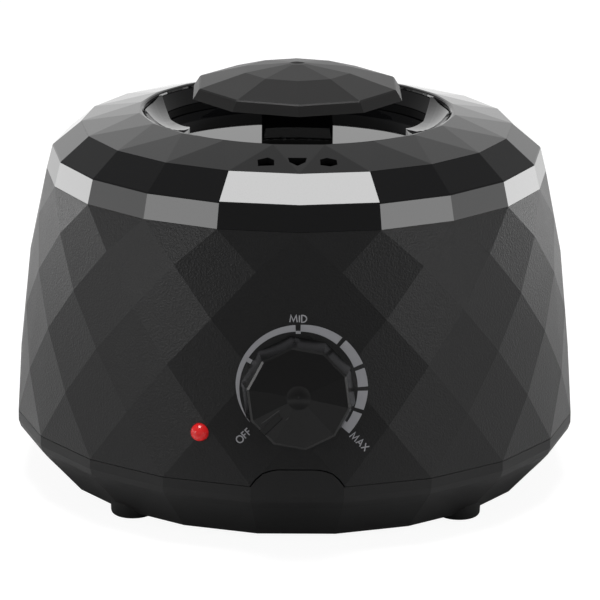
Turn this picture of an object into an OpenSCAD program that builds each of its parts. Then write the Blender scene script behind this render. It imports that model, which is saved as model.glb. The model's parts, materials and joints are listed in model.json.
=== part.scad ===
// Wax warmer pot: a twenty-sided diamond housing with a heated well, a lift-out
// aluminium pot with two grip lobes, a lift-off lid and a thermostat knob.
// Millimetres, +Z up, front towards -Y, origin on the table under the centre.

/* [Housing] */
// Corner radius at the seam between housing and base
body_r = 100; // [98:0.5:103]
// Height of the seam above the table
seam_z = 24; // [22:0.5:26]
// Wall of the housing, the bands and the base
wall = 2.4; // [2:0.1:2.8]

/* [Crown] */
// Height of the crown rim above the table
rim_z = 131.6; // [131:0.2:133]

/* [Pot] */
// Outer radius of the aluminium pot
pot_r = 49.8; // [48:0.1:50]
// Width of the flange round the pot
flange_w = 3.2; // [3:0.1:3.6]
// Depth of the pot from its flange to its underside
pot_h = 65.5; // [58:0.5:66]
// Sheet thickness of the pot
pot_wall = 1.4; // [1:0.1:1.6]

/* [Lid] */
// Corner radius at the lower edge of the ten-sided cap
cap_r = 38.5; // [36:0.5:40]
// Height of the cap from its lower edge to its point
cap_h = 11; // [10:0.5:13]
// Width of the square stem under the cap
stem_w = 24.2; // [20:0.2:25]

/* [Knob] */
// Corner radius of the knob at its base
knob_r = 19.3; // [18:0.1:19.5]
// Corner radius of the knob at its face
knob_face_r = 17.5; // [16:0.1:17.8]
// Height of the knob
knob_h = 10.6; // [9.5:0.1:12]
// Direction of the pointer at OFF, clockwise from straight up
pointer_turn = 226; // [220:1:232]

/* [Base] */
// Radius of each rubber foot
foot_r = 7.8; // [6.5:0.1:8]
// How far the feet hold the base off the table
foot_gap = 2.1; // [1.6:0.1:2.6]

/* [Hidden] */
$fn = 144;

sides = 20;
step = 360 / sides;
flat = cos(step / 2);
lip_gap = 0.2;

// Rows of the diamond lattice: how far each lies inside the seam corners, and its height
rows = [[0, seam_z + lip_gap], [1.5, 44], [3.2, 63], [5.2, 80], [8.1, 96.4], [11.3, 109.4]];
band_z = 109.4;
fold_z = 118.1;
crown_z = 126.5;
band_r = body_r - 11.3;
fold_r = body_r - 13.5;
crown_r = body_r - 23.6;
bore_r = pot_r + flange_w + 1.2;
bevel_r = bore_r + 1.2;
rim_r = bore_r + 2;
edge_z = rim_z - 1.2;

// Knob axis: on the front diamond, square to it
knob_z = 56.9;
knob_y = -(body_r - 2.82);
knob_tilt = 5.9;

// Lamp axis
lamp_turn = -19.5;
lamp_z = 41.3;
lamp_tilt = 4.5;

screw_r = 76;
screw_turns = [22.5 : 90 : 292.5];
foot_ring = 80;
base_floor = foot_gap + wall;

// Levels inside the bore
ledge_z = 109.3;
flange_z = 111;
lid_seat_z = 119.1;
plate_z = lid_seat_z + 0.3;
plate_top = 122.3;
ear_top = 131.1;
cone_z = 130.3;
mouth_r = pot_r + 0.4;
plate_r = mouth_r - 0.3;
pin_r = pot_r + 1.6;
well_r = pot_r + 0.8;
well_top = 99.2;
well_floor = flange_z - pot_h - 1.1;
post_r = bore_r + 6;
heater_r = pot_r * 0.8;
cap_z = 137.2;
cap_point = cap_z + cap_h;

module at_knob() translate([0, knob_y, knob_z]) rotate([90 - knob_tilt, 0, 0]) children();

module at_lamp()
    rotate([0, 0, lamp_turn]) translate([0, -(body_r - 2), lamp_z])
        rotate([90 - lamp_tilt, 0, 0]) children();

module round_the_axis(r, turns) for (a = turns) rotate([0, 0, a]) translate([0, -r, 0]) children();

function ring(r, z, turn, n) =
    [for (i = [0 : n - 1]) let (a = i * 360 / n + turn) [r * sin(a), -r * cos(a), z]];

// Solid through rings of corners that lie straight above one another
module prism_stack(rings, turn, n = sides) {
    top = len(rings) - 1;
    polyhedron(
        points = [for (k = rings) each ring(k[0], k[1], turn, n)],
        faces = concat(
            [[for (i = [0 : n - 1]) i]],
            [for (k = [0 : top - 1], i = [0 : n - 1]) let (j = (i + 1) % n)
                [k * n + i, (k + 1) * n + i, (k + 1) * n + j, k * n + j]],
            [[for (i = [n - 1 : -1 : 0]) top * n + i]]));
}

// Solid whose rows of corners stand half a step apart, so its skin is made of diamonds.
// The first row starts half a step from the front, and the number of rows is even.
module diamond_stack(rings) {
    n = sides;
    top = len(rings) - 1;
    polyhedron(
        points = [for (k = [0 : top]) each ring(rings[k][0], rings[k][1],
            k % 2 == 0 ? step / 2 : 0, n)],
        faces = concat(
            [[for (i = [0 : n - 1]) i]],
            [for (i = [0 : n - 1]) let (j = (i + 1) % n) [i, n + j, j]],
            [for (k = [1 : top - 1], i = [0 : n - 1])
                let (j = (i + 1) % n, c = k % 2 == 1 ? i : j, low = (k - 1) * n + c)
                each [[low, k * n + i, low + 2 * n], [low, low + 2 * n, k * n + j]]],
            [for (i = [0 : n - 1]) let (j = (i + 1) % n)
                [(top - 1) * n + i, top * n + i, top * n + j]],
            [[for (i = [n - 1 : -1 : 0]) top * n + i]]));
}

// Outline of the tab that rises from the base at the front
tab_side = [[15.6, 0], [13.9, 2.4], [11.6, 4.5], [8.9, 5.5], [6.5, 5.9]];
module tab_outline(grow = 0)
    polygon(concat(
        [[15.6 + grow, -1.5]],
        [for (p = tab_side) [p[0] + grow, p[1] + grow]],
        [for (i = [len(tab_side) - 1 : -1 : 0]) [-tab_side[i][0] - grow, tab_side[i][1] + grow]],
        [[-15.6 - grow, -1.5]]));

// Inside of the moulded shell, a fixed wall behind the flats
function inner(r) = r * flat - wall;

module housing_shell() {
    color([0.1, 0.1, 0.11])
    difference() {
        union() {
            difference() {
                diamond_stack([for (k = rows) [body_r - k[0], k[1]]]);
                rotate_extrude() polygon(concat(
                    [[0, seam_z - 1], [inner(body_r), seam_z - 1]],
                    [for (k = rows) [inner(body_r - k[0]), k[1]]],
                    [[inner(band_r), band_z + 1], [0, band_z + 1]]));
            }
            at_knob() translate([0, 0, -8]) cylinder(r = 17, h = 6);
            for (a = screw_turns) rotate([0, 0, a]) {
                translate([0, -screw_r, 9.2]) cylinder(r = 4.4, h = 30.8);
                translate([-1, -body_r + 4, 31]) cube([2, body_r - screw_r - 7, 9]);
            }
        }
        at_knob() translate([0, 0, -12]) cylinder(r = 5.1, h = 20);
        at_lamp() translate([0, 0, -9]) cylinder(r = 3.2, h = 18);
        round_the_axis(screw_r, screw_turns) translate([0, 0, 9]) cylinder(r = 1.6, h = 20);
        translate([0, -body_r + wall + 4, seam_z]) rotate([90, 0, 0])
            linear_extrude(wall + 8) tab_outline(0.35);
        translate([0, body_r - 10, 33]) rotate([-90, 0, 0]) cylinder(r = 5.7, h = 20);
    }
}

module trim_band() {
    color([0.03, 0.03, 0.035])
    difference() {
        union() {
            prism_stack([[band_r, band_z + 0.1], [fold_r + 0.1, fold_z - 0.3],
                [fold_r - 0.25, fold_z + 0.2], [crown_r, crown_z]], 0);
            translate([0, 0, band_z - 6]) cylinder(r = inner(band_r) - 0.4, h = 7);
        }
        rotate_extrude() polygon([
            [0, band_z - 7], [inner(band_r) - 2.2, band_z - 7], [inner(band_r) - 2.2, band_z + 1],
            [inner(fold_r), fold_z - 1], [inner(crown_r), crown_z - 1.6],
            [inner(crown_r), crown_z + 1], [0, crown_z + 1]]);
    }
}

// Three small vents in the front of the crown, just outside the middle of its slope
module vents() {
    vent_y = -rim_r - 0.574 * (crown_r - rim_r);
    for (v = [
        [-11.2, [[-2.8, 1.9], [0.7, 3.3], [2.8, 1.4], [2.8, -2.4], [-2.6, -2.4]]],
        [-0.6, [[-3.2, 2.7], [3.2, 2.7], [2.7, -0.5], [0, -3.1], [-2.7, -0.5]]],
        [9.8, [[-2.8, 1.7], [-0.5, 3.2], [2.8, 2], [3, -1.2], [0.7, -2.7], [-2.7, -2.1]]]])
        translate([v[0], vent_y, 120]) linear_extrude(20) polygon(v[1]);
}

module top_cover() {
    color([0.07, 0.07, 0.075])
    difference() {
        union() {
            difference() {
                polyhedron(
                    points = concat(ring(crown_r, crown_z + 0.1, 0, sides),
                        ring(rim_r, rim_z, step / 2, sides)),
                    faces = concat(
                        [[for (i = [0 : sides - 1]) i]],
                        [for (i = [0 : sides - 1]) let (j = (i + 1) % sides)
                            [i, sides + i, j]],
                        [for (i = [0 : sides - 1]) let (h = (i + sides - 1) % sides)
                            [i, sides + h, sides + i]],
                        [[for (i = [sides - 1 : -1 : 0]) sides + i]]));
                rotate_extrude() polygon([
                    [0, crown_z - 1], [inner(crown_r) - 2, crown_z - 1],
                    [inner(crown_r) - 2, crown_z + 0.1],
                    [bore_r + 2, rim_z - wall - 1], [0, rim_z - wall - 1]]);
            }
            difference() {
                translate([0, 0, crown_z - 5]) cylinder(r = inner(crown_r) - 0.2, h = 5.1);
                translate([0, 0, crown_z - 6]) cylinder(r = inner(crown_r) - 2.2, h = 8);
            }
            translate([0, 0, well_top + 0.1]) cylinder(r = bore_r + 2, h = rim_z - well_top - 2);
            round_the_axis(post_r, [60 : 120 : 300]) {
                translate([0, 0, well_top + 0.1]) cylinder(r = 3.4, h = 30);
                translate([-1, 0, well_top + 0.1]) cube([2, 5, 29]);
            }
        }
        rotate_extrude() polygon([
            [0, well_top - 1], [bore_r - 2, well_top - 1], [bore_r - 2, ledge_z],
            [bore_r, ledge_z], [bore_r, edge_z], [bore_r + 0.16, edge_z + 0.6],
            [bore_r + 0.6, edge_z + 1.04], [bevel_r, rim_z], [bevel_r, rim_z + 1],
            [0, rim_z + 1]]);
        round_the_axis(post_r, [60 : 120 : 300]) translate([0, 0, well_top - 1])
            cylinder(r = 1.4, h = 14);
        vents();
    }
}

// Outer form of the base: upright at the seam, then a long slope in to the flat underside
function base_at(part) = foot_gap + part * (seam_z - foot_gap);
base_rings = [
    [body_r - 15.3, foot_gap], [body_r - 7.6, base_at(0.388)], [body_r - 3, base_at(0.616)],
    [body_r - 0.8, base_at(0.735)], [body_r, base_at(0.845)], [body_r, seam_z]];
// Where the inside of the base meets its floor, its slope and its upright wall
base_inside = [
    [inner(body_r - 13.1) - 0.9, base_floor], [inner(body_r - 7.6) - 0.8, base_at(0.388)],
    [inner(body_r - 3) - 0.6, base_at(0.616)], [inner(body_r - 0.8) - 0.2, base_at(0.735)],
    [inner(body_r), base_at(0.845)], [inner(body_r) - 2.7, seam_z - 1]];

module base_tray() {
    color([0.09, 0.09, 0.1])
    difference() {
        union() {
            difference() {
                prism_stack(base_rings, step / 2);
                rotate_extrude() polygon(concat([[0, base_floor]], base_inside,
                    [[inner(body_r) - 2.7, seam_z + 1], [0, seam_z + 1]]));
            }
            difference() {
                translate([0, 0, seam_z - 3]) cylinder(r = inner(body_r) - 0.9, h = 9);
                translate([0, 0, seam_z - 4]) cylinder(r = inner(body_r) - 2.7, h = 11);
            }
            intersection() {
                prism_stack(base_rings, step / 2);
                union() {
                    round_the_axis(foot_ring, [45 : 90 : 315]) cylinder(r = foot_r + 2.4, h = 9);
                    round_the_axis(screw_r, screw_turns) cylinder(r = 5.6, h = 9);
                }
            }
            translate([0, -body_r * flat + 4.6, seam_z]) rotate([90, 0, 0])
                linear_extrude(4.6) tab_outline();
        }
        round_the_axis(foot_ring, [45 : 90 : 315]) cylinder(r = foot_r + 0.1, h = 6.2);
        round_the_axis(screw_r, screw_turns) {
            cylinder(r = 3.9, h = 6.5);
            cylinder(r = 2.1, h = 12);
        }
        translate([-9, body_r - 15, seam_z + 0.2]) cube([18, 13, 8]);
        for (a = [0 : 30 : 330]) rotate([0, 0, a]) {
            translate([26, -1.5, 0]) cube([16, 3, 12]);
            translate([26, 0, 0]) cylinder(r = 1.5, h = 12);
            translate([42, 0, 0]) cylinder(r = 1.5, h = 12);
        }
    }
}

module feet() {
    edge = 1.5;
    foot = foot_r - 0.15;
    color([0.04, 0.04, 0.04])
    round_the_axis(foot_ring, [45 : 90 : 315]) rotate_extrude()
        polygon(concat(
            [[0, 0]],
            [for (a = [-90 : 15 : 0]) [foot - edge + edge * cos(a), edge + edge * sin(a)]],
            [[foot_r, 5.2], [foot_r, 6.1], [0, 6.1]]));
}

module base_screws()
    color([0.6, 0.6, 0.62])
    round_the_axis(screw_r, screw_turns) difference() {
        union() {
            translate([0, 0, 4.1]) cylinder(r = 3.5, h = 2.4);
            translate([0, 0, 6.5]) cylinder(r = 1.55, h = 18);
        }
        for (a = [0, 90]) rotate([0, 0, a]) translate([-2, -0.45, 4]) cube([4, 0.9, 1.3]);
    }

// Plain grommet in the back wall, left empty
module cord_gland()
    color([0.05, 0.05, 0.05])
    translate([0, body_r * flat, 33]) rotate([-90, 0, 0]) difference() {
        union() {
            cylinder(r = 7, h = 2);
            translate([0, 0, -5]) cylinder(r = 5.5, h = 6);
            translate([0, 0, -6.4]) cylinder(r = 6.6, h = 1.6);
        }
        translate([0, 0, -8]) cylinder(r = 3.2, h = 12);
    }

module heating_well() {
    color([0.75, 0.76, 0.78])
    difference() {
        rotate_extrude() polygon([
            [0, well_floor - 1.6], [well_r - 2, well_floor - 1.6],
            [well_r + 1.4, well_floor + 1.8], [well_r + 1.4, well_top - 1.4],
            [post_r + 3.6, well_top - 1.4], [post_r + 3.6, well_top], [well_r, well_top],
            [well_r, well_floor + 2.4], [well_r - 2.4, well_floor], [0, well_floor]]);
        round_the_axis(post_r, [60 : 120 : 300]) translate([0, 0, well_top - 2])
            cylinder(r = 1.6, h = 3);
    }
}

module well_screws()
    color([0.6, 0.6, 0.62])
    round_the_axis(post_r, [60 : 120 : 300]) {
        translate([0, 0, well_top - 3.6]) cylinder(r = 2.8, h = 2.1);
        translate([0, 0, well_top - 1.6]) cylinder(r = 1.35, h = 12);
    }

module heater_ring()
    color([0.55, 0.45, 0.3])
    translate([0, 0, well_floor - 5]) difference() {
        cylinder(r = heater_r, h = 3.3);
        translate([0, 0, -1]) cylinder(r = 9, h = 6);
        for (a = [0 : 45 : 315]) rotate([0, 0, a]) translate([14, -0.7, -1])
            cube([heater_r - 18, 1.4, 2]);
    }

module heater_clamp()
    color([0.62, 0.63, 0.65])
    translate([0, 0, well_floor - 7.2]) difference() {
        union() {
            cylinder(r = 16, h = 2);
            for (a = [0 : 60 : 300]) rotate([0, 0, a]) translate([0, -5, 0])
                cube([heater_r - 6, 10, 2]);
        }
        translate([0, 0, -1]) cylinder(r = 2.6, h = 4);
    }

module clamp_nut()
    color([0.7, 0.7, 0.72])
    union() {
        translate([0, 0, well_floor - 11]) cylinder(r = 4.6, h = 3.6, $fn = 6);
        translate([0, 0, well_floor - 13]) cylinder(r = 2.4, h = 11.3);
    }

module insulation()
    color([0.85, 0.83, 0.76])
    translate([0, 0, well_floor]) difference() {
        cylinder(r = well_r + 6.4, h = well_top - well_floor - 2);
        translate([0, 0, -1]) cylinder(r = well_r + 1.5, h = well_top - well_floor);
    }

module thermal_fuse()
    color([0.8, 0.75, 0.6])
    translate([-9, heater_r * 0.6, well_floor - 9.9]) rotate([0, 90, 0]) {
        cylinder(r = 2.6, h = 18);
        translate([0, 0, -4]) cylinder(r = 0.6, h = 26);
    }

module terminal_block() {
    poles = 3;
    pitch = 10;
    deep = 14;
    color([0.85, 0.85, 0.82])
    translate([-poles * pitch / 2 - 1, body_r - 46, base_floor]) difference() {
        union() {
            cube([poles * pitch + 2, deep, 4]);
            for (i = [0 : poles - 1]) translate([1.5 + i * pitch, 1, 3]) cube([pitch - 1, deep - 2, 10]);
        }
        for (i = [0 : poles - 1]) translate([6 + i * pitch, deep / 2, 7]) {
            rotate([90, 0, 0]) cylinder(r = 1.6, h = 20, center = true);
            cylinder(r = 1.8, h = 8);
        }
    }
}

module thermostat_body()
    color([0.7, 0.68, 0.6])
    at_knob() difference() {
        union() {
            translate([0, 0, -23]) cylinder(r = 15, h = 14.8);
            translate([0, 0, -8.4]) cylinder(r = 4.9, h = 11.6);
            for (x = [-7, 7]) translate([x - 3, -0.4, -30]) cube([6, 0.8, 8]);
        }
        translate([0, 0, -12]) cylinder(r = 3.08, h = 20);
    }

module thermostat_nut()
    color([0.7, 0.7, 0.72])
    at_knob() difference() {
        translate([0, 0, 0.3]) cylinder(r = 8, h = 2.2, $fn = 6);
        translate([0, 0, -1]) cylinder(r = 4.95, h = 5);
    }

module d_section(r, flat_at) difference() {
    circle(r = r);
    translate([flat_at, -r - 1]) square([r, 2 * r + 2]);
}

module thermostat_shaft()
    color([0.72, 0.72, 0.74])
    at_knob() rotate([0, 0, -pointer_turn]) {
        translate([0, 0, -11.6]) cylinder(r = 3, h = 15.6);
        translate([0, 0, 3.9]) linear_extrude(4.2) d_section(3, 2);
    }

module lamp_lens()
    color([0.85, 0.1, 0.08])
    at_lamp() {
        translate([0, 0, -4.6]) cylinder(r = 3, h = 5.2);
        translate([0, 0, 0.6]) difference() {
            sphere(r = 3);
            translate([-4, -4, -8]) cube([8, 8, 8]);
        }
        translate([0, 0, -6]) cylinder(r = 4.2, h = 1.5);
    }

module lamp_holder()
    color([0.2, 0.2, 0.2])
    at_lamp() difference() {
        translate([0, 0, -14]) cylinder(r = 5.6, h = 9.4);
        translate([0, 0, -6.1]) cylinder(r = 4.3, h = 3);
        translate([0, 0, -12]) cylinder(r = 2.6, h = 8);
    }

// Ten-sided tapered knob with a bevelled rim and a face that falls to a round hollow
module knob() {
    n = 10;
    turn = -pointer_turn + 180 - 18;
    rings = [[knob_r, 0.8], [knob_face_r, knob_h + 0.3], [knob_face_r - 0.8, knob_h + 0.8]];
    color([0.08, 0.08, 0.085])
    at_knob() difference() {
        rotate([0, 0, turn]) polyhedron(
            points = concat([for (k = rings) each ring(k[0], k[1], 0, n)], [[0, 0, knob_h - 1.2]]),
            faces = concat(
                [[for (i = [0 : n - 1]) i]],
                [for (k = [0 : 1], i = [0 : n - 1]) let (j = (i + 1) % n)
                    [k * n + i, (k + 1) * n + i, (k + 1) * n + j, k * n + j]],
                [for (i = [0 : n - 1]) let (j = (i + 1) % n) [2 * n + i, 3 * n, 2 * n + j]]));
        translate([0, 0, -1]) cylinder(r = 9.6, h = 5);
        translate([0, 0, knob_h + 10.6]) sphere(r = 12);
        rotate([0, 0, -pointer_turn]) {
            translate([0, 0, 3]) linear_extrude(5.3) d_section(3.02, 2.02);
            pointer_bar(2.5, 8.4, knob_face_r + 1, -1, 2);
        }
    }
}

// Straight bar of width w along the pointer, from y0 to y1, low to high measured from the face
module pointer_bar(w, y0, y1, low, high) {
    face = [for (y = [y0, y1]) knob_h - 1.2 + y * 2 / ((knob_face_r - 0.8) * cos(18))];
    translate([-w / 2, 0, 0]) rotate([90, 0, 90]) linear_extrude(w) polygon([
        [y0, face[0] + low], [y1, face[1] + low], [y1, face[1] + high], [y0, face[0] + high]]);
}

module knob_pointer()
    color([0.1, 0.1, 0.1])
    at_knob() rotate([0, 0, -pointer_turn])
        pointer_bar(2.3, 8.5, knob_face_r * cos(18) - 0.45, -1, -0.35);

module wax_pot() {
    base = flange_z + 1.2 - pot_h;
    color([0.8, 0.81, 0.83])
    rotate_extrude() polygon([
        [0, base], [pot_r - 4, base], [pot_r - 1.2, base + 1.2], [pot_r, base + 4],
        [pot_r, flange_z], [pot_r + flange_w, flange_z], [pot_r + flange_w, flange_z + 1.2],
        [pot_r - pot_wall, flange_z + 1.2], [pot_r - pot_wall, base + 4 + pot_wall / 2],
        [pot_r - pot_wall - 0.9, base + 2.4], [pot_r - 4.4, base + pot_wall], [0, base + pot_wall]]);
}

// Plan of the two grip lobes, on the left of the pot as seen from the front
lobe = [
    [-pot_r - 12, -39], [-pot_r + 11.9, -39], [-pot_r + 12.4, -28], [-pot_r + 5.2, -4.6],
    [-pot_r + 0.6, 28.5], [-pot_r - 12, 28.5]];
module lobe_plan(grow = 0)
    for (m = [0, 1]) mirror([m, 0, 0])
        polygon([for (p = lobe) [p[0] + (p[0] > -pot_r ? grow : 0), p[1] + (p[1] > 0 ? grow : -grow)]]);

// Ring on the pot's flange: a cone falls to the mouth, and two lobes with hollowed tops give a grip
module pot_collar() {
    outer = bore_r - 0.3;
    hollow = 10;
    sweep = 150;
    color([0.06, 0.06, 0.065])
    difference() {
        union() {
            rotate_extrude() polygon([
                [mouth_r, ledge_z + 0.3], [outer, ledge_z + 0.3], [outer, cone_z],
                [outer - 0.4, cone_z], [mouth_r + 0.18, cone_z - 4.44],
                [mouth_r + 0.05, cone_z - 4.71], [mouth_r, cone_z - 5.01], [mouth_r, lid_seat_z],
                [pot_r - 0.9, lid_seat_z], [pot_r - 0.9, flange_z + 1.3],
                [pot_r + flange_w + 0.1, flange_z + 1.3], [pot_r + flange_w + 0.1, flange_z],
                [mouth_r, flange_z]]);
            intersection() {
                translate([0, 0, lid_seat_z - 1]) linear_extrude(20) lobe_plan();
                rotate_extrude() polygon([
                    [0, lid_seat_z - 1], [outer, lid_seat_z - 1], [outer, ear_top - 0.3],
                    [outer - 0.3, ear_top], [0, ear_top]]);
            }
        }
        for (m = [0, 1]) mirror([m, 0, 0]) translate([-pot_r + 3.3, -7, ear_top + 6.9 + sweep])
            rotate([0, 0, 10]) rotate([0, 90, 0]) rotate_extrude() translate([sweep, 0]) circle(r = hollow);
        round_the_axis(pin_r, [30 : 60 : 330]) translate([0, 0, flange_z - 1]) cylinder(r = 0.95, h = 4.5);
    }
}

module collar_pins()
    color([0.7, 0.7, 0.72])
    round_the_axis(pin_r, [30 : 60 : 330]) translate([0, 0, flange_z + 1.2]) cylinder(r = 0.9, h = 2);

module lid_plate() {
    color([0.03, 0.03, 0.03])
    difference() {
        rotate_extrude() polygon([
            [0, plate_z], [plate_r - 0.6, plate_z], [plate_r, plate_z + 0.6],
            [plate_r, plate_top - 0.4], [plate_r - 0.4, plate_top], [0, plate_top]]);
        translate([0, 0, plate_z - 1]) linear_extrude(6) lobe_plan(0.7);
        translate([0, 0, plate_z - 1]) cylinder(r = 2.3, h = 6);
    }
}

// Soft ring under the plate that keeps it central in the pot
module lid_gasket()
    color([0.5, 0.5, 0.5])
    difference() {
        rotate_extrude() polygon([
            [pot_r - 4, plate_z - 3.4], [pot_r - 2.4, plate_z - 3.4], [pot_r - 1.4, plate_z],
            [pot_r - 4.8, plate_z]]);
        translate([0, 0, plate_z - 4]) linear_extrude(6) lobe_plan(0.7);
    }

// Square stem: a slightly wider foot on the plate, stepped in at a small slope
module lid_stem() {
    top = cap_z + 4.6;
    r = stem_w / sqrt(2);
    color([0.03, 0.03, 0.03])
    difference() {
        prism_stack([[r + 0.5, plate_top], [r + 0.5, 128.5], [r, 129.1], [r, top]], 45, 4);
        translate([0, 0, plate_top - 1]) cylinder(r = 4.7, h = top - plate_top + 2);
    }
}

// Ten-sided lid handle: a flared rim, a shallow faceted top and a small dimple at its point
module lid_cap() {
    n = 10;
    k = cap_h / 11;
    color([0.1, 0.1, 0.1])
    difference() {
        union() {
            difference() {
                prism_stack([[cap_r, cap_z], [cap_r - 2.1, cap_z + 3.3 * k],
                    [cap_r - 2.7, cap_z + 3.75 * k], [cap_r / 2, cap_z + 8.4 * k],
                    [0.6, cap_point]], 0, n);
                prism_stack([[cap_r - 1.6, cap_z - 1], [cap_r - 4.6, cap_z + 2.6 * k],
                    [stem_w * 0.7, cap_z + 5.4 * k + 0.4], [0.6, cap_z + 7.4 * k + 0.4]], 0, n);
            }
            translate([0, 0, plate_top + 6]) cylinder(r = 4.6, h = cap_z + 7.5 * k - plate_top - 6);
        }
        translate([0, 0, plate_top]) cylinder(r = 1.95, h = cap_z + 6 * k - plate_top);
        translate([0, 0, cap_point + 7.2]) sphere(r = 8);
    }
}

module lid_screw()
    color([0.7, 0.7, 0.72])
    difference() {
        union() {
            translate([0, 0, plate_z - 2.6]) cylinder(r = 4, h = 2.5);
            translate([0, 0, plate_z - 0.2]) cylinder(r = 1.9, h = cap_z - plate_z);
        }
        for (a = [0, 90]) rotate([0, 0, a]) translate([-2.2, -0.5, plate_z - 3]) cube([4.4, 1, 1.6]);
    }

housing_shell();
trim_band();
top_cover();
base_tray();
feet();
base_screws();
cord_gland();
heating_well();
well_screws();
heater_ring();
heater_clamp();
clamp_nut();
insulation();
thermal_fuse();
terminal_block();
thermostat_body();
thermostat_nut();
lamp_lens();
lamp_holder();
knob();
knob_pointer();
thermostat_shaft();
wax_pot();
pot_collar();
collar_pins();
lid_plate();
lid_gasket();
lid_stem();
lid_cap();
lid_screw();
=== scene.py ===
import bpy, bmesh, json, math
from mathutils import Vector, Matrix
from mathutils.bvhtree import BVHTree


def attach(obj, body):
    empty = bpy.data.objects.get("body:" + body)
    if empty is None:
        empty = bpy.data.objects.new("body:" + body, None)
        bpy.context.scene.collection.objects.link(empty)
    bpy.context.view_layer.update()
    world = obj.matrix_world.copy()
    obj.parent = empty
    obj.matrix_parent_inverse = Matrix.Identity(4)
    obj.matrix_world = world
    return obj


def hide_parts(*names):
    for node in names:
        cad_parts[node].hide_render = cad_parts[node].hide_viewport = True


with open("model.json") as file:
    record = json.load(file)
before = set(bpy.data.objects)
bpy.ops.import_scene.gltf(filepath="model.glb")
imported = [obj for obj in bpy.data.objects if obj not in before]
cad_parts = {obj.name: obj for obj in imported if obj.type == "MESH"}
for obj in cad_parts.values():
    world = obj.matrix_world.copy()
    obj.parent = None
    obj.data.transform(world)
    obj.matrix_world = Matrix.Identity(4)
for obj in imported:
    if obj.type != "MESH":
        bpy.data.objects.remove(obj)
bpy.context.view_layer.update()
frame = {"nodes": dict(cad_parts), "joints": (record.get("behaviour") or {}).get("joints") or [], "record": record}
nodes = frame["nodes"]
scene = bpy.context.scene
MM = 0.001


# ---------------------------------------------------------------- node helpers
def feed(tree, socket, value):
    """Sets a socket to a number, or links it to another node's output."""
    if isinstance(value, float):
        socket.default_value = value
    else:
        tree.links.new(value, socket)


def compute(tree, kind, *values, clamp=False):
    """The output of a new math node with the given inputs."""
    m = tree.nodes.new("ShaderNodeMath")
    m.operation = kind
    m.use_clamp = clamp
    for k, value in enumerate(values):
        feed(tree, m.inputs[k], value)
    return m.outputs["Value"]


def ramp(tree, source, start, end, at_start, at_end):
    """Goes from at_start to at_end while the source goes from start to end."""
    m = tree.nodes.new("ShaderNodeMapRange")
    for key, value in (("From Min", start), ("From Max", end),
                       ("To Min", at_start), ("To Max", at_end)):
        m.inputs[key].default_value = value
    tree.links.new(source, m.inputs["Value"])
    return m.outputs["Result"]


def blend(tree, fac, a, b):
    """The number a where fac is 0 and b where it is 1."""
    m = tree.nodes.new("ShaderNodeMix")
    m.data_type = "FLOAT"
    tree.links.new(fac, m.inputs["Factor"])
    feed(tree, m.inputs["A"], a)
    feed(tree, m.inputs["B"], b)
    return m.outputs["Result"]


def noise(tree, where, scale, detail):
    """The value of a noise texture that is fixed to the piece."""
    n = tree.nodes.new("ShaderNodeTexNoise")
    n.inputs["Scale"].default_value = scale
    n.inputs["Detail"].default_value = detail
    tree.links.new(where, n.inputs["Vector"])
    return n.outputs["Fac"]


# ---------------------------------------------------------------- materials
CLOUD_SCALE = 14.0
CLOUD_DETAIL = 4.0
GRAIN_DETAIL = 3.0
GRAIN_DEPTH = 0.2 * MM


def material(name, base, rough, spec=0.5, bump=0.0, scale=900.0, metal=0.0, vary=0.15,
             fleck=0.0):
    """A principled material whose colour and roughness drift a little over the surface."""
    m = bpy.data.materials.new(name)
    m.use_nodes = True
    t = m.node_tree
    p = t.nodes["Principled BSDF"]
    where = t.nodes.new("ShaderNodeTexCoord").outputs["Object"]
    cloud = noise(t, where, CLOUD_SCALE, CLOUD_DETAIL)
    grain = noise(t, where, scale, GRAIN_DETAIL)
    mix = t.nodes.new("ShaderNodeMix")
    mix.data_type = "RGBA"
    mix.inputs["A"].default_value = (*[c * (1 - vary) for c in base], 1)
    mix.inputs["B"].default_value = (*[min(1, c * (1 + vary + fleck)) for c in base], 1)
    t.links.new(grain if fleck else cloud, mix.inputs["Factor"])
    t.links.new(mix.outputs["Result"], p.inputs["Base Color"])
    drift = ramp(t, cloud, 0, 1, rough * (1 - vary), min(1, rough * (1 + vary)))
    t.links.new(drift, p.inputs["Roughness"])
    p.inputs["Metallic"].default_value = metal
    p.inputs["Specular IOR Level"].default_value = spec
    if bump:
        b = t.nodes.new("ShaderNodeBump")
        b.inputs["Strength"].default_value = bump
        b.inputs["Distance"].default_value = GRAIN_DEPTH
        t.links.new(grain, b.inputs["Height"])
        t.links.new(b.outputs["Normal"], p.inputs["Normal"])
    return m


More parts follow.
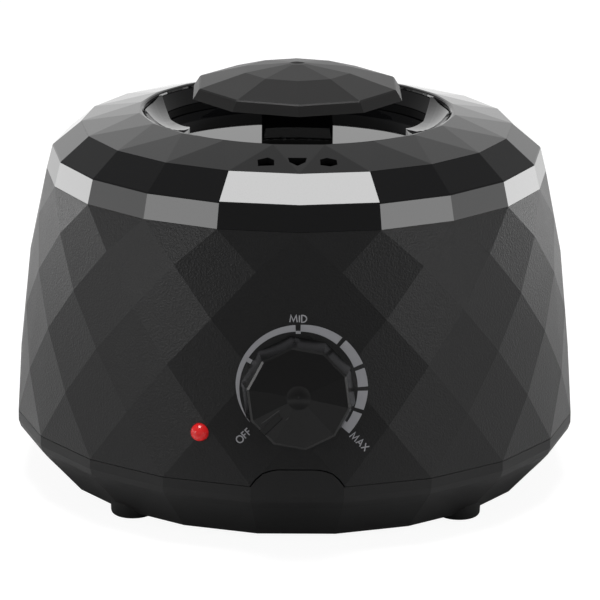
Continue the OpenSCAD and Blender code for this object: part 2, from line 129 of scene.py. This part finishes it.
MATS = {
    "housing": material("diamond housing", (0.0065, 0.0065, 0.0067), 0.36, 0.31, 0.6, 1500, fleck=0.9),
    "gloss_black": material("gloss black", (0.003, 0.003, 0.0034), 0.02, 0.5, vary=0.1),
    "satin_black": material("satin black", (0.007, 0.007, 0.0072), 0.08, 0.5, vary=0.1),
    "base_black": material("base black", (0.0165, 0.0165, 0.0167), 0.42, 0.22, 0.15, 2600, fleck=0.2),
    "rubber": material("rubber", (0.008, 0.008, 0.008), 0.6, 0.3, 0.2, 1500),
    "steel": material("steel", (0.55, 0.56, 0.58), 0.3, metal=1.0, bump=0.1),
    "aluminium": material("aluminium", (0.8, 0.81, 0.83), 0.3, metal=1.0, bump=0.1),
    "mica": material("mica", (0.32, 0.22, 0.1), 0.5, bump=0.2),
    "fibre": material("glass fibre", (0.7, 0.68, 0.6), 0.9, bump=0.6, scale=500),
    "ceramic": material("ceramic", (0.72, 0.71, 0.66), 0.5),
    "lamp_body": material("lamp holder", (0.02, 0.02, 0.02), 0.5),
    "knob_black": material("knob black", (0.0028, 0.0028, 0.0029), 0.25, 0.5, 0.05, 2600),
    "pointer_black": material("pointer", (0.004, 0.004, 0.0041), 0.34, 0.5),
    "silicone": material("silicone", (0.2, 0.2, 0.2), 0.5),
    "lid_black": material("lid black", (0.0085, 0.0082, 0.0082), 0.4, 0.27, 0.05, 2600),
}
INK = material("dial print", (0.34, 0.34, 0.36), 0.5, 0.3, 0.1, 2600, vary=0.08)


def lamp_material():
    """Red plastic that is lit a little from inside."""
    m = material("red lamp", (0.55, 0.015, 0.015), 0.1, 0.5, vary=0.1)
    p = m.node_tree.nodes["Principled BSDF"]
    p.inputs["Emission Color"].default_value = (1.0, 0.03, 0.035, 1)
    p.inputs["Emission Strength"].default_value = 0.2
    return m


MATS["lamp_red"] = lamp_material()
SLOTS = {s["node"]: s["material_slot"] for s in frame["record"]["subparts"]}
FACETED = ("trim_band", "top_cover", "base_tray", "knob", "lid_cap", "lid_stem")
SHARP_ANGLE = math.radians(30)


def dress(o, slot, mat=None):
    """Gives a piece the material of its slot, or another one."""
    o.data.materials.clear()
    o.data.materials.append(mat or MATS[slot])


for n, o in nodes.items():
    dress(o, SLOTS[n])
    if n in FACETED:
        o.data.shade_flat()
    else:
        o.data.shade_smooth()
        o.data.set_sharp_from_angle(angle=SHARP_ANGLE)


# ---------------------------------------------------------------- pieces of the scene
def piece(name, verts, faces, slot, body, mat):
    """A flat-shaded piece of the scene that rides a body."""
    me = bpy.data.meshes.new(name)
    me.from_pydata([tuple(v) for v in verts], [], faces)
    me.validate()
    o = bpy.data.objects.new(name, me)
    scene.collection.objects.link(o)
    dress(o, slot, mat)
    me.shade_flat()
    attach(o, body)


# ---------------------------------------------------------------- housing
COLUMNS = 20
# Rows of diamonds: how far each looks up, in degrees, and the bearing of its first diamond
ROWS = [(18.3, 9), (11.7, 0), (8.3, 9), (5.9, 0), (4.7, 9), (0.8, 0)]
WALL_R = 80 * MM    # the diamonds lie beyond this radius
ROW_SPREAD = 0.3    # how far a face may lean from its row, in degrees
FOLD_SPREAD = 5.5   # how far the folded halves may turn from their diamond


def diamond_normal(f):
    """The even normal of the diamond that a face of the skin lies in, or None elsewhere."""
    x, y, z = f.normal
    if Vector(f.center[:2]).length < WALL_R or x * f.center.x + y * f.center.y < 0:
        return None
    lift = math.degrees(math.asin(max(-1, min(1, z))))
    turn = math.degrees(math.atan2(x, -y))
    step = 360 / COLUMNS
    for row, first in ROWS:
        centre = first + step * round((turn - first) / step)
        if abs(lift - row) < ROW_SPREAD and abs(turn - centre) < FOLD_SPREAD:
            a, e = math.radians(centre), math.radians(row)
            return (math.cos(e) * math.sin(a), -math.cos(e) * math.cos(a), math.sin(e))
    return None


shell = nodes["housing_shell"]
me = shell.data.copy()
me.name = "housing_skin"
normals = [tuple(c.vector) for c in me.corner_normals]
for f in me.polygons:
    n = diamond_normal(f)
    for k in f.loop_indices:
        normals[k] = n or tuple(f.normal)
me.shade_smooth()
me.normals_split_custom_set(normals)
skin = bpy.data.objects.new("housing_skin", me)
scene.collection.objects.link(skin)
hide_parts("housing_shell")
dress(skin, "housing")
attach(skin, "base")

bm = bmesh.new()
bm.from_mesh(shell.data)
tree = BVHTree.FromBMesh(bm)
bm.free()

# The dial is centred on the knob's joint, and x on it runs along the scene's own X
knob_joint = next(j for j in frame["joints"] if j["name"] == "knob_turn")
KNOB = Vector(knob_joint["pos_m"])
OUT = Vector(knob_joint["axis"]).normalized()
UP = OUT.cross(Vector((1, 0, 0)))
PRINT_LIFT = 0.07 * MM   # how far the ink stands off the housing
CAST_FROM = 30 * MM      # rays to the housing start this far out


def on_skin(x, y):
    """The point of the housing under dial coordinates x (right) and y (up), in millimetres."""
    start = KNOB + Vector((x * MM, 0, 0)) + UP * (y * MM) + OUT * CAST_FROM
    hit = tree.ray_cast(start, -OUT)[0]
    return hit + OUT * PRINT_LIFT


# ---------------------------------------------------------------- dial print
class Print:
    """Patches of ink that follow the skin, gathered into one piece."""

    def __init__(self):
        self.verts, self.faces = [], []

    def grid(self, rows):
        """Adds a patch through rows of dial points."""
        first, wide = len(self.verts), len(rows[0])
        for row in rows:
            self.verts += [on_skin(x, y) for x, y in row]
        for r in range(len(rows) - 1):
            for c in range(wide - 1):
                k = first + r * wide + c
                self.faces.append((k, k + 1, k + wide + 1, k + wide))

    def done(self, name):
        """Makes the piece."""
        piece(name, self.verts, self.faces, "housing", "base", INK)


# The scale, in millimetres, with bearings in degrees clockwise from its top
DIAL = (0.1, 0.75)
INNER = 19.75
ARC_STEP = 1.5
ARC_BANDS = 4
# Its thickness at some bearings, with an even change between them
THICK = [(-125, 0.06), (-84, 1.35), (-40, 1.85), (0, 2.25), (45, 3.05), (90, 3.45), (131, 2.95)]


def thick(turn):
    """The scale's thickness at a bearing."""
    for (a, u), (b, v) in zip(THICK, THICK[1:]):
        if turn <= b:
            return u + (v - u) * (turn - a) / (b - a)
    return THICK[-1][1]


def polar(turn, r):
    """The dial point at a bearing and a radius."""
    t = math.radians(turn)
    return DIAL[0] + r * math.sin(t), DIAL[1] + r * math.cos(t)


def arc(ink, start, end, low=INNER, high=None):
    """A run of the scale between two bearings, as thick as the scale unless high is given."""
    n = max(2, round(abs(end - start) / ARC_STEP))
    rows = []
    for i in range(n + 1):
        t = start + (end - start) * i / n
        outer = INNER + thick(t) if high is None else high
        rows.append([polar(t, low + (outer - low) * j / ARC_BANDS) for j in range(ARC_BANDS + 1)])
    ink.grid(rows)


SCALE_RUNS = ((-125, -3.2), (1.3, 39.4), (43.2, 68.2), (72.0, 88.2), (91.8, 108.4), (112.0, 131.5))
# Ticks: the bearings and the radii between which each lies
TICKS = ((-62.2, -57.6, 18.2, INNER + 0.1), (-3.2, 1.6, 19.0, 20.0), (124.6, 131.5, 17.7, INNER + 0.1))
scale_print = Print()
for start, end in SCALE_RUNS:
    arc(scale_print, start, end)
for start, end, low, high in TICKS:
    arc(scale_print, start, end, low, high)
scale_print.done("dial_scale")

# Letters as strokes in a box one unit high: straight runs of points
GLYPHS = {
    "M": (1.05, [[(0, 0), (0.14, 1), (0.52, 0.16), (0.91, 1), (1.05, 0)]]),
    "I": (0.0, [[(0, 0), (0, 1)]]),
    "D": (0.72, [[(0, 0), (0, 1), (0.24, 1), (0.5, 0.9), (0.67, 0.7), (0.72, 0.5), (0.67, 0.3),
                  (0.5, 0.1), (0.24, 0), (0, 0)]]),
    "O": (1.0, [[(0.5 + 0.5 * math.sin(math.radians(a)), 0.5 + 0.5 * math.cos(math.radians(a)))
                 for a in range(0, 361, 20)]]),
    "F": (0.46, [[(0, 0), (0, 1), (0.46, 1)], [(0, 0.54), (0.42, 0.54)]]),
    "A": (0.84, [[(0, 0), (0.42, 1), (0.84, 0)], [(0.15, 0.34), (0.69, 0.34)]]),
    "X": (0.74, [[(0, 0), (0.74, 1)], [(0, 1), (0.74, 0)]]),
}


STROKE_STEP = 0.5     # the longest patch of a stroke, in millimetres
SHARPEST = 0.4        # the least cosine of half a bend that still lengthens its mitre
LONGEST_MITRE = 1.1   # in widths of the pen


def heading(a, b):
    """The direction from one dial point to another, or None where one is missing."""
    return Vector((b[0] - a[0], b[1] - a[1])).normalized() if a and b else None


def stroke(ink, points, pen):
    """A run of ink of width pen through the points, mitred at its bends."""
    closed = points[0] == points[-1]
    before = [points[-2] if closed else None] + points[:-1]
    after = points[1:] + [points[1] if closed else None]
    rows = []
    for a, at, b in zip(before, points, after):
        x, y = at
        d1, d2 = heading(a, at), heading(at, b)
        d1, d2 = d1 or d2, d2 or d1
        mean = (d1 + d2).normalized()
        side = Vector((-mean.y, mean.x))
        bend = max(SHARPEST, side.dot(Vector((-d1.y, d1.x))))
        reach = min(pen / 2 / bend, pen * LONGEST_MITRE)
        rows.append([(x + side.x * reach * k, y + side.y * reach * k) for k in (-1, 0, 1)])
    dense = []
    for p, q in zip(rows, rows[1:]):
        m = max(1, round(math.dist(p[1], q[1]) / STROKE_STEP))
        for j in range(m):
            dense.append([(u[0] + (v[0] - u[0]) * j / m, u[1] + (v[1] - u[1]) * j / m)
                          for u, v in zip(p, q)])
    dense.append(rows[-1])
    ink.grid(dense)


LETTER_H = 2.3
PEN = 0.42


def word(name, text, centre, turn, gap):
    """A generic dial word, centred, turned clockwise by turn degrees."""
    ink = Print()
    high = LETTER_H
    wide = sum(GLYPHS[c][0] * high for c in text) + gap * (len(text) - 1)
    t = math.radians(-turn)
    x = -wide / 2
    for c in text:
        for run in GLYPHS[c][1]:
            pts = []
            for u, v in run:
                px, py = x + u * high, (v - 0.5) * high
                pts.append((centre[0] + px * math.cos(t) - py * math.sin(t),
                            centre[1] + px * math.sin(t) + py * math.cos(t)))
            stroke(ink, pts, PEN)
        x += GLYPHS[c][0] * high + gap
    ink.done(name)


word("dial_word_mid", "MID", (-0.2, 24.75), 0, 0.75)
word("dial_word_off", "OFF", (-18.2, -15.45), -44, 0.62)
word("dial_word_max", "MAX", (20.6, -17.3), 45.5, 0.62)

# ---------------------------------------------------------------- knob groove
# Painted highlights: the two moulded edges of the pointer groove get thin strips coloured lighter than the knob,
# which stand for the light those edges catch: runs on the face, in millimetres
GROOVE_RUNS = (("painted_highlight_groove_left", (-12.2, -109.21, 49.74), (-6.31, -107.88, 53.86)),
               ("painted_highlight_groove_right", (-10.7, -108.87, 45.6), (-3.2, -108.15, 51.44)))
FACE = Vector((0.09, -0.978, 0.188)).normalized()
HALF_WIDTH = 0.11 * MM
EDGE_LIFT = 0.06 * MM
EDGE_DEPTH = 0.1 * MM
BOX_FACES = [(0, 1, 3, 2), (4, 6, 7, 5), (0, 2, 6, 4), (1, 5, 7, 3), (0, 4, 5, 1), (2, 3, 7, 6)]
# The strips' lighter colour is a painted highlight, not the knob's own colour
GROOVE_HIGHLIGHT_PAINT = material("painted groove highlight", (0.04, 0.04, 0.041), 0.3, 0.5, 0.05, 2600)
for name, a, b in GROOVE_RUNS:
    a, b = Vector(a) * MM, Vector(b) * MM
    side = FACE.cross((b - a).normalized()) * HALF_WIDTH
    corners = [end + side * k + FACE * rise for rise in (EDGE_LIFT, -EDGE_DEPTH)
               for end in (a, b) for k in (-1, 1)]
    piece(name, corners, BOX_FACES, "knob_black", "knob", GROOVE_HIGHLIGHT_PAINT)

# ---------------------------------------------------------------- camera
# Fitted to the photograph, which is 600 pixels square
PICTURE = 600
FOCAL = 3497.8        # in pixels
MIDDLE_X = 295.36     # the pixel column that the lens looks along
SENSOR = 36.0
DISTANCE = 1.2563
ELEVATION = math.radians(15.886)
YAW = math.radians(0.744)
ROLL = math.radians(0.514)
TARGET_Z = 0.0611
target = Vector((0, 0, TARGET_Z))
level = DISTANCE * math.cos(ELEVATION)
cam_at = target + Vector((-level * math.sin(YAW), -level * math.cos(YAW),
                          DISTANCE * math.sin(ELEVATION)))
ahead = (target - cam_at).normalized()
right = ahead.cross(Vector((0, 0, 1))).normalized()
up = right.cross(ahead)
rolled_right = right * math.cos(ROLL) + up * math.sin(ROLL)
rolled_up = -right * math.sin(ROLL) + up * math.cos(ROLL)
cam_data = bpy.data.cameras.new("camera")
cam = bpy.data.objects.new("camera", cam_data)
scene.collection.objects.link(cam)
rotation = Matrix((rolled_right, rolled_up, -ahead)).transposed().to_4x4()
cam.matrix_world = Matrix.Translation(cam_at) @ rotation
cam_data.sensor_width = SENSOR
cam_data.lens = FOCAL / PICTURE * SENSOR
cam_data.shift_x = (PICTURE / 2 - MIDDLE_X) / PICTURE
cam_data.clip_start, cam_data.clip_end = 0.05, 50
scene.camera = cam

# ---------------------------------------------------------------- stage
FLOOR_REACH = 6.0
FLOOR_GLOW = 1.15              # the strength of the glow in the white floor
FLOOR_SHARE = 0.8              # the glow's share for camera and glass, which leaves a faint shadow
FLOOR_DARK, FLOOR_PALE = 0.14, 0.66    # the floor's colour in front of the dial and elsewhere
FRONT_EDGE, BACK_EDGE = -0.23, -0.03   # where |X| + Y passes from the one to the other, in metres
SWEEP_START, SWEEP_END = 0.1, 0.5      # the Y over which gloss begins to see the glow, in metres


def split(tree, output):
    """The X, Y and Z of a new texture coordinate."""
    where = tree.nodes.new("ShaderNodeTexCoord")
    parts = tree.nodes.new("ShaderNodeSeparateXYZ")
    tree.links.new(where.outputs[output], parts.inputs["Vector"])
    return parts.outputs["X"], parts.outputs["Y"], parts.outputs["Z"]


def floor_material():
    """Camera and glass see a white floor with a faint shadow, and gloss the lit sweep behind."""
    m = bpy.data.materials.new("floor")
    m.use_nodes = True
    t = m.node_tree
    shader = t.nodes["Principled BSDF"]
    shader.inputs["Roughness"].default_value = 0.9
    glow = t.nodes.new("ShaderNodeEmission")
    glow.inputs["Color"].default_value = (1, 1, 1, 1)
    glow.inputs["Strength"].default_value = FLOOR_GLOW
    path = t.nodes.new("ShaderNodeLightPath").outputs
    x, y, _ = split(t, "Object")
    plain = compute(t, "ADD", path["Is Camera Ray"], path["Is Transmission Ray"], clamp=True)
    behind = ramp(t, y, SWEEP_START, SWEEP_END, 0.0, 1.0)
    gloss = compute(t, "MULTIPLY", path["Is Glossy Ray"], behind, clamp=True)
    mix = t.nodes.new("ShaderNodeMixShader")
    t.links.new(compute(t, "MULTIPLY_ADD", plain, FLOOR_SHARE, gloss, clamp=True), mix.inputs["Fac"])
    # The floor throws less light back from in front of the dial than from the sides
    aside = compute(t, "ADD", compute(t, "ABSOLUTE", x), y)
    shade = ramp(t, aside, FRONT_EDGE, BACK_EDGE, FLOOR_DARK, FLOOR_PALE)
    pale = compute(t, "ADD", shade, plain, clamp=True)
    tint = t.nodes.new("ShaderNodeCombineColor")
    for channel in ("Red", "Green", "Blue"):
        t.links.new(pale, tint.inputs[channel])
    t.links.new(tint.outputs["Color"], shader.inputs["Base Color"])
    t.links.new(shader.outputs["BSDF"], mix.inputs[1])
    t.links.new(glow.outputs["Emission"], mix.inputs[2])
    t.links.new(mix.outputs["Shader"], t.nodes["Material Output"].inputs["Surface"])
    return m


floor_me = bpy.data.meshes.new("floor")
FLOOR_CORNERS = ((-1, -1), (1, -1), (1, 1), (-1, 1))
floor_me.from_pydata([(x * FLOOR_REACH, y * FLOOR_REACH, 0) for x, y in FLOOR_CORNERS], [], [(0, 1, 2, 3)])
floor = bpy.data.objects.new("floor", floor_me)
scene.collection.objects.link(floor)
floor_me.materials.append(floor_material())


# What gloss sees of the world, as strengths
ROOM_FRONT, ROOM_BACK = 0.21, 0.30
LOW_GLOW = 0.4                    # low down in front of the warmer
SWEEP = 0.8                       # behind the warmer
SWEEP_LEFT, SWEEP_RIGHT = 1.25, 0.75   # its shares to the left and right


def light_world():
    """Camera and glass see white all round, and gloss a dim room with a white sweep behind."""
    world = bpy.data.worlds.new("studio")
    scene.world = world
    world.use_nodes = True
    t = world.node_tree
    back = t.nodes["Background"]
    back.inputs["Color"].default_value = (1, 1, 1, 1)
    x, y, z = split(t, "Generated")
    in_front = ramp(t, y, -0.85, -0.6, LOW_GLOW, 0.0)
    low = compute(t, "MULTIPLY", in_front, ramp(t, z, 0.12, 0.22, 1.0, 0.0))
    room = compute(t, "ADD", ramp(t, y, 0.30, 0.70, ROOM_FRONT, ROOM_BACK), low)
    sideways = ramp(t, x, -0.5, 0.5, SWEEP_LEFT, SWEEP_RIGHT)
    rise = compute(t, "MULTIPLY", ramp(t, y, 0.74, 1.0, 0.0, SWEEP), sideways)
    behind = compute(t, "ADD", room, rise)
    path = t.nodes.new("ShaderNodeLightPath").outputs
    seen = blend(t, path["Is Glossy Ray"], room, behind)
    seen = blend(t, path["Is Transmission Ray"], seen, 1.0)
    t.links.new(blend(t, path["Is Camera Ray"], seen, 1.0), back.inputs["Strength"])


light_world()


MIDDLE = (0, 0, 0.08)


def softbox(name, azimuth, height, distance, w, h, radiance, aim=MIDDLE):
    """A light panel of width w and height h, metres, that faces the warmer."""
    d = bpy.data.lights.new(name, "AREA")
    d.shape = "RECTANGLE"
    d.size, d.size_y = w, h
    d.energy = radiance * math.pi * w * h
    o = bpy.data.objects.new(name, d)
    scene.collection.objects.link(o)
    a = math.radians(azimuth)
    at = Vector((distance * math.sin(a), -distance * math.cos(a), height))
    o.location = at
    o.rotation_mode = "QUATERNION"
    o.rotation_quaternion = (at - Vector(aim)).to_track_quat("Z", "Y")


# Pairs of panels to the left and right: azimuth, height, width, tallness, radiance and the
# right-hand one's share of it
PANEL_DISTANCE = 1.3
PANELS = (("front side", 56, 0.30, 0.32, 0.46, 4.8, 1), ("front flank", 73, 0.2, 0.3, 0.36, 1.2, 0.55),
          ("side", 90, 0.2, 0.3, 0.36, 1.7, 1), ("rear flank", 107, 0.2, 0.3, 0.36, 0.6, 0.55),
          ("rear side", 124, 0.12, 0.36, 0.36, 4.2, 1))
softbox("overhead", azimuth=0, height=1.6, distance=0.06, w=0.68, h=0.72, radiance=13.5,
        aim=(0, -0.06, 0))
for name, turn, high, wide, tall, radiance, right_share in PANELS:
    softbox(name, -turn, high, PANEL_DISTANCE, wide, tall, radiance)
    softbox(name, turn, high, PANEL_DISTANCE, wide, tall, radiance * right_share)

# ---------------------------------------------------------------- view and end
scene.view_settings.view_transform = "Standard"
